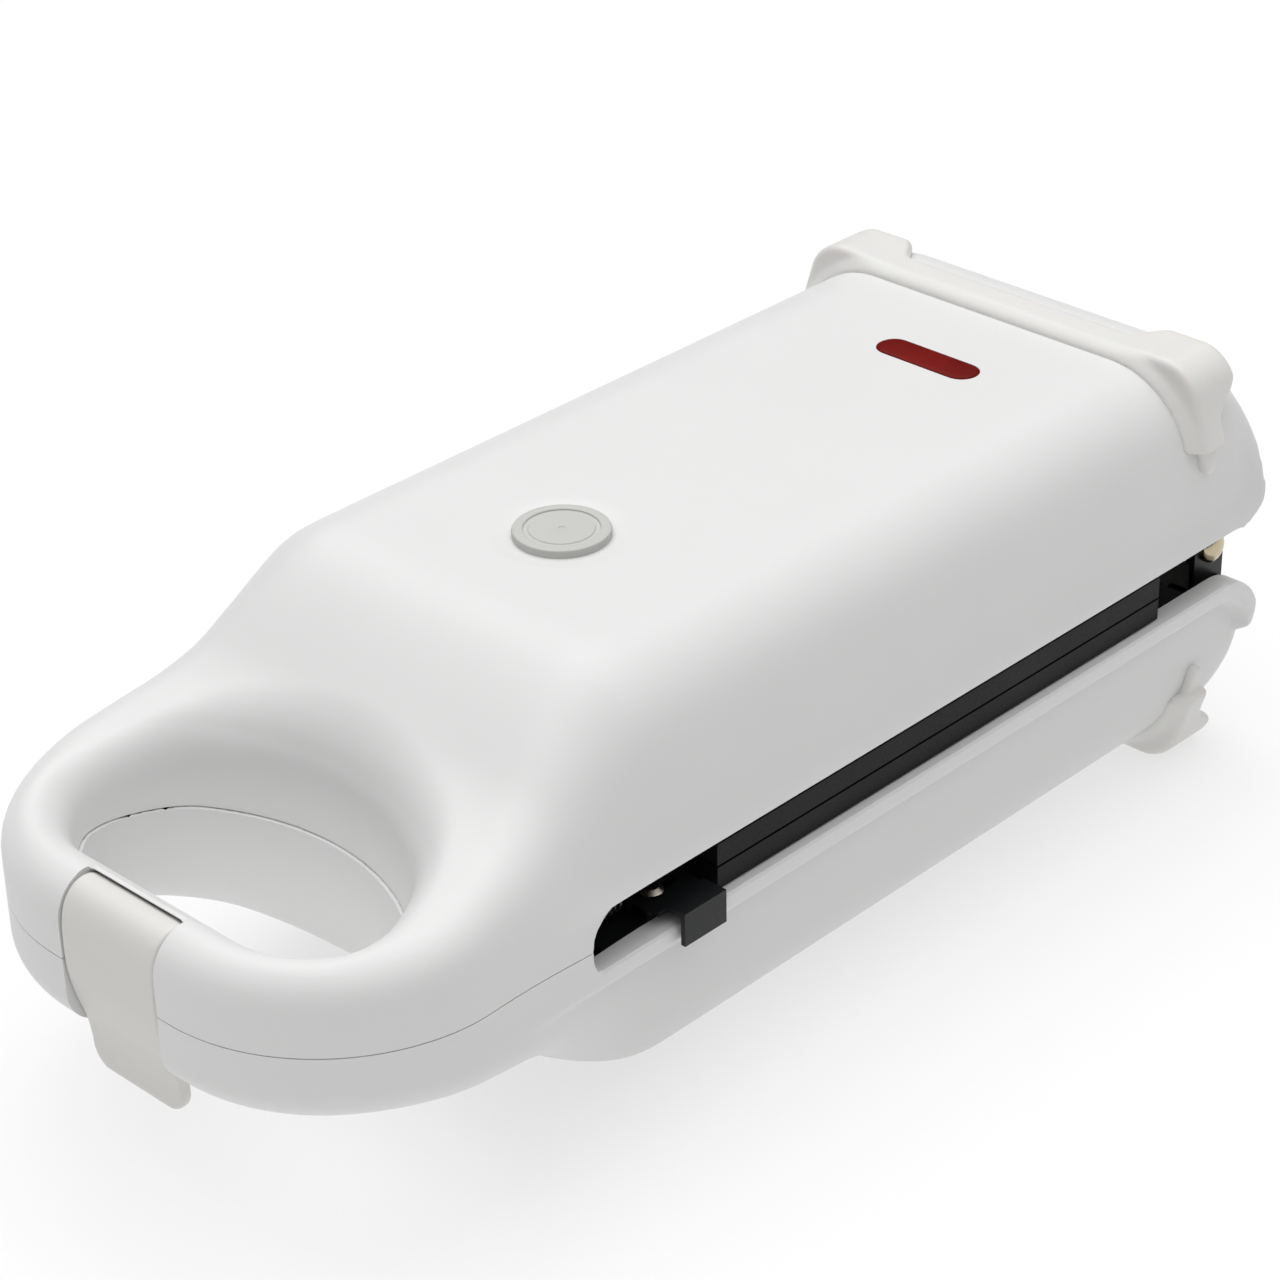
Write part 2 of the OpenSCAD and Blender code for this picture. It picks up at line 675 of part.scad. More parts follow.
// Round-sectioned tube of radius r along the points, with a ring at each point.
module tube(points, r, sides) {
    n = len(points);
    function along(i) = points[min(i + 1, n - 1)] - points[max(i - 1, 0)];
    function ring(i) =
        let (t = along(i) / norm(along(i)))
        let (u0 = cross(t, abs(t.z) > 0.8 ? [1, 0, 0] : [0, 0, 1]), u = u0 / norm(u0), v = cross(t, u))
        [for (k = [0:sides - 1]) points[i] + r * (u * cos(360 * k / sides) + v * sin(360 * k / sides))];
    faces = concat(
        [[for (k = [sides - 1:-1:0]) k]],
        [for (i = [0:n - 2], k = [0:sides - 1])
            let (a = i * sides + k, b = i * sides + (k + 1) % sides)
            each [[a, b, a + sides], [b, b + sides, a + sides]]],
        [[for (k = [0:sides - 1]) (n - 1) * sides + k]]);
    polyhedron([for (i = [0:n - 1]) each ring(i)], faces);
}
wire_r = 1;
wire_y = heater_end + 5.2;
module base_wiring()
    color("#c9c6c0") to_place() turned() {
        tube([[heater_half, wire_y, heater_z], [heater_half, wire_y + 1.5, heater_z],
              [heater_half, wire_y + 3, heater_z + 1],
              [heater_half, heater_end + 10, block_z + 3], [27, block_y - 4, block_z + 6],
              [27, block_y - 0.3, block_z + 6]], wire_r, 8);
        tube([[-heater_half, wire_y, heater_z], [-heater_half, wire_y + 1.5, heater_z],
              [-heater_half, wire_y + 3, heater_z + 1],
              [-heater_half + 8, heater_end + 9, block_z + 3], [19, block_y - 6, block_z + 6],
              [19, block_y - 0.3, block_z + 6]], wire_r, 8);
    }
module lid_wiring()
    color("#c9c6c0") to_place()
        both_sides()
            tube([[heater_half, wire_y, heater_z], [heater_half, wire_y + 1.5, heater_z],
                  [heater_half, wire_y + 3, heater_z + 2], [heater_half, wire_y - 1, pan_back + 4],
                  [heater_half - 6, lens_y, half_h - wall - 16.5], [12, lens_y, half_h - wall - 15.5]],
                 wire_r, 8);

// ================= plate latches =================

rivet_xs = [-half_rim + 9, -half_rim + 20];
spring_x = -half_rim + 14;
spring_z = slide_z + latch_t / 2 + 1;
seat_y = slide_y0 - 13;
module plate_latch() {
    tab_x = -half_rim - tab_out - latch_t;
    difference() {
        union() {
            translate([tab_x, slide_y0 + 3, slide_z])
                cube([tab_out + 4 + latch_t, tab_len, latch_t]);
            translate([-half_rim + 2, slide_y0, slide_z])
                cube([30, slide_y1 - slide_y0, latch_t]);
            translate([-half_rim + 22, slide_y1 - 1, slide_z]) cube([10, 3.5, latch_t]);
            translate([tab_x, slide_y0 + 3, slide_z]) cube([latch_t, tab_len, 8.2]);
            translate([spring_x - 3, slide_y0, slide_z]) cube([6, latch_t, 4.2]);
        }
        for (x = rivet_xs) {
            translate([x, rivet_y, 0]) cylinder(r = rivet_r + 0.2, h = 9);
            translate([x, rivet_y + latch_travel + 0.4, 0]) cylinder(r = rivet_r + 0.2, h = 9);
            translate([x - rivet_r - 0.2, rivet_y, 0])
                cube([2 * rivet_r + 0.4, latch_travel + 0.4, 9]);
        }
    }
}
module upper_plate_latch() color(satin_black) to_place() plate_latch();
module lower_plate_latch() color(satin_black) to_place() turned() plate_latch();

module latch_guide()
    difference() {
        union() {
            translate([-half_rim + 6.3, seat_y, guide_z]) cube([24.2, slide_y1 - 1.5 - seat_y, 1.2]);
            translate([spring_x - 4, seat_y, slide_z - 1]) cube([8, 1.2, guide_z - slide_z + 1.5]);
        }
        for (x = rivet_xs)
            translate([x, rivet_y, 0]) cylinder(r = rivet_r, h = 9);
    }
module lid_latch_guide() color(satin_black) to_place() latch_guide();
module base_latch_guide() color(satin_black) to_place() turned() latch_guide();

module latch_rivets()
    for (x = rivet_xs)
        translate([x, rivet_y, 0]) {
            translate([0, 0, slide_z - 0.3]) cylinder(r = rivet_r, h = guide_z + 1.2 - slide_z + 0.3);
            translate([0, 0, slide_z - 1.2]) cylinder(r1 = 1.8, r2 = 2.9, h = 0.9);
            translate([0, 0, slide_z + latch_t + 0.3]) cylinder(r = 2.4, h = guide_z - slide_z - latch_t - 0.35);
        }
module lid_latch_rivets() color("#c8bda6") to_place() latch_rivets();
module base_latch_rivets() color("#c8bda6") to_place() turned() latch_rivets();

// Coil of n turns and length l along +Y.
module coil(l, n) {
    per_turn = 14;
    steps = n * per_turn;
    tube([for (i = [0:steps])
        [coil_r * cos(360 * i / per_turn), wire_d / 2 + (l - wire_d) * i / steps,
         coil_r * sin(360 * i / per_turn)]], wire_d / 2, 6);
}
module latch_spring()
    translate([spring_x, seat_y + 1.3, spring_z]) coil(slide_y0 - seat_y - 1.5, 6);
module upper_latch_spring() color(steel) to_place() latch_spring();
module lower_latch_spring() color(steel) to_place() turned() latch_spring();

// ================= hinge =================

base_ear_x = half_rim - ear_in - ear_t;
lid_ear_x = base_ear_x - 0.7 - ear_t;
module ear(x, foot_w, foot_level, bore) {
    translate([x, hinge_y, 0])
        difference() {
            union() {
                rotate([0, 90, 0]) cylinder(r = ear_r, h = ear_t);
                translate([0, -ear_r, 0]) cube([ear_t, 2 * ear_r, foot_level]);
            }
            translate([-1, 0, 0]) rotate([0, 90, 0]) cylinder(r = bore, h = ear_t + 2);
        }
    translate([x - foot_w, hinge_y - ear_r, foot_level - ear_t])
        cube([foot_w + ear_t, 2 * ear_r, ear_t]);
}
module base_hinge_ears()
    color(satin_black) to_place() turned() both_sides() ear(base_ear_x, 12, shelf_z - 0.1, pin_r + 0.01);
module lid_hinge_ears()
    color(satin_black) to_place() both_sides()
        ear(lid_ear_x, 12, shelf_z - 0.1, pin_r + pin_clear);
module hinge_pins()
    color("#cbbf9d") to_place() both_sides() translate([0, hinge_y, 0]) rotate([0, 90, 0]) {
        translate([0, 0, lid_ear_x - 1.5]) cylinder(r = pin_r, h = base_ear_x + ear_t + 1.6 - lid_ear_x);
        translate([0, 0, lid_ear_x - 1.2]) cylinder(r = pin_r + 0.8, h = 0.9);
        translate([0, 0, base_ear_x + ear_t + 0.1]) cylinder(r1 = pin_head_r, r2 = pin_head_r - 1.2, h = 2.8);
    }

// ================= cord gland and screws =================

module cord_gland()
    color("#dad8d3") to_place() turned()
        translate([0, y_rear - 0.2, gland_down]) rotate([90, 0, 0])
            difference() {
                union() {
                    cylinder(r = gland_r, h = gland_len);
                    translate([0, 0, wall]) cylinder(r = gland_r + 0.9, h = 2);
                }
                translate([0, 0, -1]) cylinder(r = cord_r, h = gland_len + 2);
            }

module lid_screws() color(steel) to_place() for (p = screw_places) screw(p);
module base_screws() color(steel) to_place() turned() for (p = screw_places) screw(p);

base_shell();
base_inner_cover();
base_stand_rail();
base_front_foot();
base_heat_pan();
base_heater();
base_heater_clamps();
thermostat();
thermal_fuse();
terminal_block();
base_wiring();
lower_plate();
base_latch_guide();
base_latch_rivets();
lower_latch_spring();
lower_plate_latch();
base_hinge_ears();
hinge_pins();
cord_gland();
base_screws();
lid_shell();
lid_inner_cover();
lid_stand_rail();
lid_front_foot();
indicator_lens();
lamp_holder();
indicator_lamps();
lid_heat_pan();
lid_heater();
lid_heater_clamps();
lid_wiring();
upper_plate();
lid_latch_guide();
lid_latch_rivets();
upper_latch_spring();
upper_plate_latch();
lid_hinge_ears();
clip_axle();
lid_screws();
front_clip();
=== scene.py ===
"""Sandwich and waffle maker, closed, on a pale floor.

Lengths inside the shape functions are millimetres. The two halves share one set of functions, drawn
as an upper half from the parting plane upwards; the base is that half turned about the long axis.
"""

import json
import math

import bmesh
import bpy
import numpy as np
from mathutils import Matrix, Vector


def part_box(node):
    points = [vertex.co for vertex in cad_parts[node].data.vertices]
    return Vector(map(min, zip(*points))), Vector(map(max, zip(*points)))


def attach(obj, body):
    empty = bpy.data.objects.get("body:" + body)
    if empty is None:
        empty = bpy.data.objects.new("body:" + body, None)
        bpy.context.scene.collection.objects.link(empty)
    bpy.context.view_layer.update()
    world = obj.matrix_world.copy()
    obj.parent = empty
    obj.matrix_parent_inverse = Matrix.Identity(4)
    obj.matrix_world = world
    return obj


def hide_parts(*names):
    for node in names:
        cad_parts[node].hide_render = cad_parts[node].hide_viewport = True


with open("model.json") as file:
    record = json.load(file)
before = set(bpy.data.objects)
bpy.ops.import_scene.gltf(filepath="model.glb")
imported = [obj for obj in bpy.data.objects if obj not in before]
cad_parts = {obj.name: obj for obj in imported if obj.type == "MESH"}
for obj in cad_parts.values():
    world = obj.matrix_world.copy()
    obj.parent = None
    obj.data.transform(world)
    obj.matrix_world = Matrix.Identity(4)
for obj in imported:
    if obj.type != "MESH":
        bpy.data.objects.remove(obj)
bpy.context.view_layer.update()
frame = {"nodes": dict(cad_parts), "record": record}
MM = 0.001


def box_mm(node):
    low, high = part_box(node)
    return np.array(low) / MM, np.array(high) / MM


# ---------------------------------------------------------------- sizes, from the frame
LID_LOW, LID_HIGH = box_mm("lid_shell")
BASE_TOP = box_mm("base_shell")[1][2]
CLIP_LOW, CLIP_HIGH = box_mm("front_clip")
Y_FRONT, Y_REAR = LID_LOW[1], LID_HIGH[1]
HALF_RIM = LID_HIGH[0]
MID_Z = (LID_LOW[2] + BASE_TOP) / 2
HALF_H = LID_HIGH[2] - MID_Z
WALL = 2.7
SEAM = 0.13
SIDE_HALF = HALF_RIM - 4.0
HANDLE_HALF = HALF_RIM - 0.5
NOSE_R = HANDLE_HALF - 18.5
BODY_R = 24.0
EDGE_R = 10.0
REAR_R = 15.0
DRAFT = 1.0
BLEND_START, BLEND_END = Y_FRONT + 35, Y_FRONT + 98
GAP_Y = Y_FRONT + 76
LIP_H = 8.0
HANDLE_H = 19.0
COLLAR = 4.5  # how far the base's wall rises into the lid round the finger opening
COLLAR_T = 2.4
GRIP_DRAFT = 3.2
FLANGE_END, FLANGE_FADE = 22.0, 3.0
# Crest of a half: distance from the front, height above the parting plane.
CREST = [(0, 19), (24, 19), (37, 20), (47, 22.3), (62, 27.2), (71, 32), (79, 39), (89, 46.6),
         (96, 50.6), (102, HALF_H), (340, HALF_H)]
AXLE = np.array([Y_FRONT + 6.5, 11.0])
CLIP_HALF = (CLIP_HIGH[0] - CLIP_LOW[0]) / 2
FOOT_LOW, FOOT_HIGH = box_mm("lid_front_foot")
FOOT_Y = (FOOT_LOW[1] + FOOT_HIGH[1]) / 2
FOOT_R = (FOOT_HIGH[0] - FOOT_LOW[0]) / 2
LENS_LOW, LENS_HIGH = box_mm("indicator_lens")
LENS_C = (LENS_LOW + LENS_HIGH) / 2
LENS_L, LENS_W = LENS_HIGH[0] - LENS_LOW[0] - 3.0, LENS_HIGH[1] - LENS_LOW[1] - 3.0
RAIL_LOW, RAIL_HIGH = box_mm("lid_stand_rail")
GLAND_LOW, GLAND_HIGH = box_mm("cord_gland")
GLAND_DOWN = MID_Z - (GLAND_LOW[2] + GLAND_HIGH[2]) / 2


# ---------------------------------------------------------------- camera
def make_camera():
    right = Vector((0.72491666, 0.68860275, -0.01794669))
    up = Vector((-0.33235886, 0.37246889, 0.86648977))
    back = right.cross(up)
    place = Vector((0.49365, -0.5080, 0.47733))
    data = bpy.data.cameras.new("camera")
    data.sensor_width = 36.0
    data.lens = 99.98
    data.clip_start = 0.01
    camera = bpy.data.objects.new("camera", data)
    bpy.context.scene.collection.objects.link(camera)
    turn = Matrix((right, up, back)).transposed()
    camera.matrix_world = Matrix.Translation(place) @ turn.to_4x4()
    bpy.context.scene.camera = camera


make_camera()


# ---------------------------------------------------------------- shape functions
def smooth(t):
    t = np.clip(t, 0, 1)
    return t * t * (3 - 2 * t)


def both(a, b, r):
    """Inside both a and b, with their edge rounded to radius r. r may vary over the points."""
    return np.minimum(np.maximum(a, b), -r) + np.hypot(np.maximum(a + r, 0), np.maximum(b + r, 0))


def either(a, b, r):
    """Inside a or b, with their inner corner filled to radius r."""
    return -both(-a, -b, r)


STEP = 0.25
CREST_Y = np.arange(Y_FRONT - 30, Y_REAR + 30, STEP)
_raw = np.interp(CREST_Y, [Y_FRONT + p[0] for p in CREST], [p[1] for p in CREST])
_kernel = np.exp(-0.5 * (np.arange(-48, 49) * STEP / 3.2) ** 2)
CREST_Z = np.convolve(np.pad(_raw, 48, mode="edge"), _kernel / _kernel.sum(), mode="valid")
CREST_SLOPE = np.gradient(CREST_Z, STEP)


def body_share(y):
    """0 along the handle, 1 along the body."""
    return smooth((y - BLEND_START) / (BLEND_END - BLEND_START))


def dish(x, y):
    """Shallow dish in the top around the round foot."""
    r = np.hypot(x, y - FOOT_Y)
    return 0.7 * (1 - smooth((r - FOOT_R) / 5.5))


def half_body(x, y, z, rim, rear_round, flange, lipped=1.0):
    """The outer form of a half. rim: its edge's level; rear_round: rounding of the edge at the rear,
    seen from the side; flange: a stepped lip (True) or one that turns out smoothly; lipped: 0 leaves
    the lip out, as on the inside of the base."""
    share = body_share(y)
    width = HANDLE_HALF + (SIDE_HALF - HANDLE_HALF) * share
    from_edge = -both(rim - z, y - Y_REAR, rear_round)
    if flange:
        lip = (1 - smooth((from_edge - 3.6) / 3.2)) * (1 - smooth((z - FLANGE_END) / FLANGE_FADE))
    else:
        lip = np.clip(1 - from_edge / LIP_H, 0, 1) ** 2
    lip = lipped * lip * smooth((y - GAP_Y + 30) / 34)
    out = (HALF_RIM - width) * lip
    width = width + out + DRAFT * share * (1 - lip) * np.clip(1 - z / 30, 0, 1)
    qx, qy = np.abs(x) - (width - NOSE_R), Y_FRONT + NOSE_R - y
    side = np.minimum(np.maximum(qx, qy), 0) + np.hypot(np.maximum(qx, 0), np.maximum(qy, 0)) - NOSE_R
    top = np.interp(y, CREST_Y, CREST_Z)
    slope = np.interp(y, CREST_Y, CREST_SLOPE)
    back = np.clip(y - (Y_REAR - REAR_R), 0, REAR_R - 0.02)
    drop = REAR_R - np.sqrt(REAR_R**2 - back**2)
    over = (z - top + drop + dish(x, y)) / np.sqrt(1 + slope**2)
    fillet = EDGE_R + (BODY_R - EDGE_R) * share + out
    return both(side, over, fillet)


def grip(x, y, z):
    """The finger opening."""
    sides = both(np.abs(x) - 47.6, Y_FRONT + 15.5 - y, 23.0)
    arch = np.hypot(x, y - (Y_FRONT + 1.0)) - 64.0
    return both(sides, arch, 15.0) + GRIP_DRAFT * (1 - np.clip(z / HANDLE_H, 0, 1.2))


def half_outer(x, y, z, rim, rear_round, flange, lipped=1.0):
    """Outer form of a half with its finger opening, as a distance."""

    def form(x, y, z):
        body = half_body(x, y, z, rim, rear_round, flange, lipped)
        if flange:
            rear = y - Y_REAR + 3.0 * (1 - lipped * (1 - smooth((z - FLANGE_END) / FLANGE_FADE)))
        else:
            rear = y - Y_REAR
        return both(both(body, rear, 1.2), -grip(x, y, z), 9.0)

    e = 0.1
    here = form(x, y, z)
    steep = (form(x + e, y, z) - here) ** 2 + (form(x, y + e, z) - here) ** 2
    steep = np.sqrt(steep + (form(x, y, z + e) - here) ** 2) / e
    return here / np.clip(steep, 0.6, 30)


def clip_notch(x, y, z, lean):
    """Recess for the clip; on the base it leans in behind the finger tab, on the lid it takes the hub."""
    if lean:
        depth = 3.3 + np.interp(z, [1, 4, 11, 15, 26], [0, 0.4, 1.9, 3.3, 5.6])
        seen = y - (Y_FRONT + depth)
    else:
        seen = np.minimum(y - (Y_FRONT + 3.4), np.hypot(y - AXLE[0], z - AXLE[1]) - 7.4)
        seen = np.minimum(seen, np.maximum(y - (AXLE[0] + 3.0), AXLE[1] - z))
    return np.maximum(np.abs(x) - (CLIP_HALF + 0.35), seen)


def pill(x, y, length, width):
    """Flat outline with half-round ends."""
    return np.hypot(np.maximum(np.abs(x) - (length - width) / 2, 0), y) - width / 2


def shell_functions(rim, rear_round, front_round, flange, lean, opening):
    """The functions whose highest value is the shell: outside, clip recess, inside and cuts."""

    def skin(p):
        return half_outer(p[0], p[1], p[2], rim, rear_round, flange)

    def outer(p):
        return both(skin(p), side_gap(p), 1.1 if flange else 0.8)

    def notch(p):
        return -clip_notch(p[0], p[1], p[2], lean)

    def inside(p):
        plain = half_outer(p[0], p[1], p[2], rim, rear_round, flange, 0.0) if flange else skin(p)
        edge = smooth(1 - p[2] / 1.5) if flange else 0.0
        return -(np.maximum(plain, notch(p)) + WALL + edge)

    def parting(p):
        """The parting plane, stepped up for the collar round the finger opening."""
        into = grip(p[0], p[1], 0 * p[2])
        if flange:
            return np.minimum(SEAM - p[2], np.maximum(into - COLLAR_T, -COLLAR - p[2]))
        return np.maximum(SEAM - p[2], np.minimum(5.0 - into, COLLAR + 2 * SEAM - p[2]))

    def side_gap(p):
        """The edge of the half along its sides and rear, above the gap between the halves."""
        edge = both(rim - p[2], p[1] - Y_REAR - (0.7 if flange else 1.8), rear_round)
        return either(edge, p[1] - GAP_Y, front_round)

    return [outer, notch, inside, parting, opening]


# ---------------------------------------------------------------- meshes from functions
def gradient(f, p):
    """Slope of a function at each point, by central differences."""
    e = 0.02
    g = np.empty_like(p)
    for axis in range(3):
        d = np.zeros((3, 1))
        d[axis] = e
        g[axis] = (f(p + d) - f(p - d)) / (2 * e)
    return g


def surface(name, functions, low, high, cell):
    """Closed mesh of the points where the highest of the functions is 0. A vertex whose cell is
    crossed by several functions goes to where they meet, so edges come out straight."""
    axes = [np.arange(a - 1.37 * cell, b + 1.5 * cell, cell) for a, b in zip(low, high)]
    shape = tuple(len(a) for a in axes)
    grid = np.stack(np.meshgrid(*axes, indexing="ij")).reshape(3, -1)
    values = np.stack([f(grid) for f in functions])
    total = values.max(0).reshape(shape)
    values = values.reshape((len(functions),) + shape)
    inside = total < 0
    cells = tuple(n - 1 for n in shape)
    point_sum = np.zeros((3,) + cells)
    count = np.zeros(cells)
    active = np.zeros((len(functions),) + cells, bool)
    crossings = []
    for axis in range(3):
        a = [slice(None)] * 3
        b = [slice(None)] * 3
        a[axis], b[axis] = slice(0, -1), slice(1, None)
        a, b = tuple(a), tuple(b)
        where = np.nonzero(inside[a] != inside[b])
        start = np.stack([axes[d][where[d]] for d in range(3)])
        fa, fb = total[a][where], total[b][where]
        t = fa / (fa - fb)
        point = start.copy()
        point[axis] += t * cell
        va = np.stack([v[a][where] for v in values])
        vb = np.stack([v[b][where] for v in values])
        leader = (va * (1 - t) + vb * t).argmax(0)
        crossings.append((axis, where, inside[a][where]))
        others = [d for d in range(3) if d != axis]
        for du in (0, 1):
            for dv in (0, 1):
                index = list(where)
                index[others[0]] = where[others[0]] - du
                index[others[1]] = where[others[1]] - dv
                index = tuple(index)
                np.add.at(count, index, 1)
                for d in range(3):
                    np.add.at(point_sum[d], index, point[d])
                active[(leader,) + index] = True
    used = np.nonzero(count > 0)
    number = np.full(cells, -1)
    number[used] = np.arange(len(used[0]))
    p = point_sum[:, used[0], used[1], used[2]] / count[used]
    flags = active[:, used[0], used[1], used[2]]
    corner = np.stack([axes[d][used[d]] for d in range(3)])
    mean = p.copy()
    for _ in range(7):
        ata = np.zeros((p.shape[1], 3, 3)) + np.eye(3) * 0.004
        atb = (mean - p).T * 0.004
        for f, flag in zip(functions, flags):
            on = np.nonzero(flag)[0]
            if len(on) == 0:
                continue
            q = p[:, on]
            g = gradient(f, q)
            size = np.maximum((g**2).sum(0), 0.05)
            value = f(q) / np.sqrt(size)
            g = g / np.sqrt(size)
            ata[on] += np.einsum("in,jn->nij", g, g)
            atb[on] -= (g * value).T
        step = np.linalg.solve(ata, atb[:, :, None])[:, :, 0].T
        length = np.maximum(np.sqrt((step**2).sum(0)), 1e-9)
        p = p + step * np.minimum(1, 0.6 * cell / length)
        p = np.clip(p, corner - 0.25 * cell, corner + 1.25 * cell)
    faces = []
    for axis, where, entering in crossings:
        u, v = [d for d in range(3) if d != axis]
        quad = []
        for du, dv in ((0, 0), (1, 0), (1, 1), (0, 1)):
            index = list(where)
            index[u] = where[u] - du
            index[v] = where[v] - dv
            quad.append(number[tuple(index)])
        quad = np.stack(quad, 1)
        flip = entering if axis != 1 else ~entering
        quad[~flip] = quad[~flip][:, ::-1]
        faces.append(quad)
    faces = np.concatenate(faces)
    mesh = bpy.data.meshes.new(name)
    mesh.vertices.add(p.shape[1])
    mesh.loops.add(faces.size)
    mesh.polygons.add(len(faces))
    mesh.loops.foreach_set("vertex_index", faces.reshape(-1).astype(np.int32))
    mesh.polygons.foreach_set("loop_start", (np.arange(len(faces)) * 4).astype(np.int32))
    return mesh, p


def place_half(p, turned):
    """Millimetres above the parting plane to metres in the frame; turned: for the base."""
    x, y, z = p
    if turned:
        x, z = -x, -z
    return np.stack([x, y, z + MID_Z], 1) * MM


def add_object(name, mesh, points, body, material, nodes, sharp=None):
    mesh.vertices.foreach_set("co", points.astype(np.float32).reshape(-1))
    mesh.update()
    mesh.validate()
    obj = bpy.data.objects.new(name, mesh)
    bpy.context.scene.collection.objects.link(obj)
    finish_object(obj, body, material, nodes, sharp)
    return obj


def finish_object(obj, body, material, nodes, sharp=None):
    mesh = obj.data
    for polygon in mesh.polygons:
        polygon.use_smooth = True
    if sharp is not None:
        mesh.set_sharp_from_angle(angle=math.radians(sharp))
    mesh.materials.clear()
    mesh.materials.append(material)
    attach(obj, body)
    if nodes:
        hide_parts(*nodes)


def function_object(name, functions, low, high, cell, turned, body, material, nodes, sharp=None):
    mesh, p = surface(name, functions, low, high, cell)
    return add_object(name, mesh, place_half(p, turned), body, material, nodes, sharp)


# ---------------------------------------------------------------- materials
def material(name, color, rough, metallic=0.0, grain=900.0, depth=0.00002, mottle=0.03, spread=0.06,
             coat=0.0, subsurface=0.0, transmission=0.0, stretch=None, glow=0.0, sheen=0.5):
    """Procedural material: fine grain as bump, a slow change of colour and of roughness."""
    m = bpy.data.materials.new(name)
    m.use_nodes = True
    tree = m.node_tree
    tree.nodes.clear()

    def node(kind, **values):
        n = tree.nodes.new(kind)
        for key, value in values.items():
            n.inputs[key].default_value = value
        return n

    link = tree.links.new
    out = node("ShaderNodeOutputMaterial")
    shader = node("ShaderNodeBsdfPrincipled", **{"Metallic": metallic, "Coat Weight": coat,
                                                 "Subsurface Weight": subsurface,
                                                 "Transmission Weight": transmission,
                                                 "Emission Color": (1, 1, 1, 1),
                                                 "Emission Strength": glow,
                                                 "Specular IOR Level": sheen})
    shader.inputs["Subsurface Scale"].default_value = 0.002
    place = node("ShaderNodeTexCoord")
    mapping = node("ShaderNodeMapping")
    if stretch:
        mapping.inputs["Scale"].default_value = stretch
    link(place.outputs["Object"], mapping.inputs["Vector"])
    slow = node("ShaderNodeTexNoise", Scale=35.0, Detail=3.0)
    fine = node("ShaderNodeTexNoise", Scale=grain, Detail=2.0)
    link(place.outputs["Object"], slow.inputs["Vector"])
    link(mapping.outputs["Vector"], fine.inputs["Vector"])
    ramp = tree.nodes.new("ShaderNodeValToRGB")
    dark = [c * (1 - mottle) for c in color]
    light = [min(1, c * (1 + mottle)) for c in color]
    ramp.color_ramp.elements[0].position, ramp.color_ramp.elements[1].position = 0.3, 0.7
    ramp.color_ramp.elements[0].color = (*dark, 1)
    ramp.color_ramp.elements[1].color = (*light, 1)
    link(slow.outputs["Fac"], ramp.inputs["Fac"])
    link(ramp.outputs["Color"], shader.inputs["Base Color"])
    span = node("ShaderNodeMapRange")
    span.inputs["From Min"].default_value, span.inputs["From Max"].default_value = 0.3, 0.7
    span.inputs["To Min"].default_value = max(0.02, rough - spread)
    span.inputs["To Max"].default_value = min(1, rough + spread)
    link(fine.outputs["Fac"], span.inputs["Value"])
    link(span.outputs["Result"], shader.inputs["Roughness"])
    bump = node("ShaderNodeBump", Strength=0.6, Distance=depth)
    link(fine.outputs["Fac"], bump.inputs["Height"])
    link(bump.outputs["Normal"], shader.inputs["Normal"])
    link(shader.outputs["BSDF"], out.inputs["Surface"])
    return m


LOOKS = {
    "white_plastic": material("white_plastic", (0.735, 0.735, 0.73), 0.46, grain=1400, mottle=0.006),
    "rail_plastic": material("rail_plastic", (0.745, 0.735, 0.715), 0.42, grain=1100, mottle=0.012,
                             subsurface=0.12),
    "clip_plastic": material("clip_plastic", (0.70, 0.685, 0.66), 0.45, grain=1200, mottle=0.01),
    "black_plastic": material("black_plastic", (0.010, 0.010, 0.011), 0.6, grain=700, mottle=0.2,
                              depth=0.00005, sheen=0.2),
    "grey_rubber": material("grey_rubber", (0.53, 0.53, 0.51), 0.62, grain=1300, mottle=0.02),
    "nonstick_coating": material("nonstick_coating", (0.009, 0.009, 0.0095), 0.45, grain=1600,
                                 mottle=0.25, depth=0.00003, spread=0.1, sheen=0.13),
    "black_steel": material("black_steel", (0.010, 0.011, 0.012), 0.36, grain=900, mottle=0.2,
                            sheen=0.25),
    "pressed_steel": material("pressed_steel", (0.60, 0.60, 0.60), 0.36, 1.0, stretch=(1, 0.05, 1)),
    "heater_tube": material("heater_tube", (0.20, 0.17, 0.15), 0.5, 0.9, mottle=0.3),
    "spring_steel": material("spring_steel", (0.55, 0.53, 0.50), 0.3, 1.0, mottle=0.1),
    "bright_zinc": material("bright_zinc", (0.66, 0.60, 0.50), 0.3, 1.0, mottle=0.12),
    "yellow_zinc": material("yellow_zinc", (0.50, 0.43, 0.30), 0.24, 1.0, mottle=0.12),
    "brass_parts": material("brass_parts", (0.62, 0.44, 0.16), 0.32, 1.0, mottle=0.1),
    "cream_ceramic": material("cream_ceramic", (0.72, 0.67, 0.54), 0.6, mottle=0.06),
    "wire_sleeve": material("wire_sleeve", (0.60, 0.58, 0.54), 0.8, grain=500, depth=0.0002,
                            mottle=0.1, stretch=(3, 0.6, 3)),
    "red_lens": material("red_lens", (0.15, 0.005, 0.0035), 0.25, grain=260, depth=0.0001, mottle=0.3,
                         stretch=(1, 0.1, 1), sheen=0.05),
    "lamp_glass": material("lamp_glass", (1.0, 0.45, 0.2), 0.1, grain=600, mottle=0.15,
                           transmission=0.6),
}
SLOT_OF = {p["node"]: p["material_slot"] for p in frame["record"]["subparts"]}
for node_name, node_object in frame["nodes"].items():
    node_object.data.materials.clear()
    node_object.data.materials.append(LOOKS[SLOT_OF[node_name]])

# ---------------------------------------------------------------- the two halves
SHELL_CELL = 1.25


def lens_opening(p):
    hole = pill(p[0] - LENS_C[0], p[1] - LENS_C[1], LENS_L + 0.3, LENS_W + 0.3)
    return -np.maximum(hole, 40 - p[2])


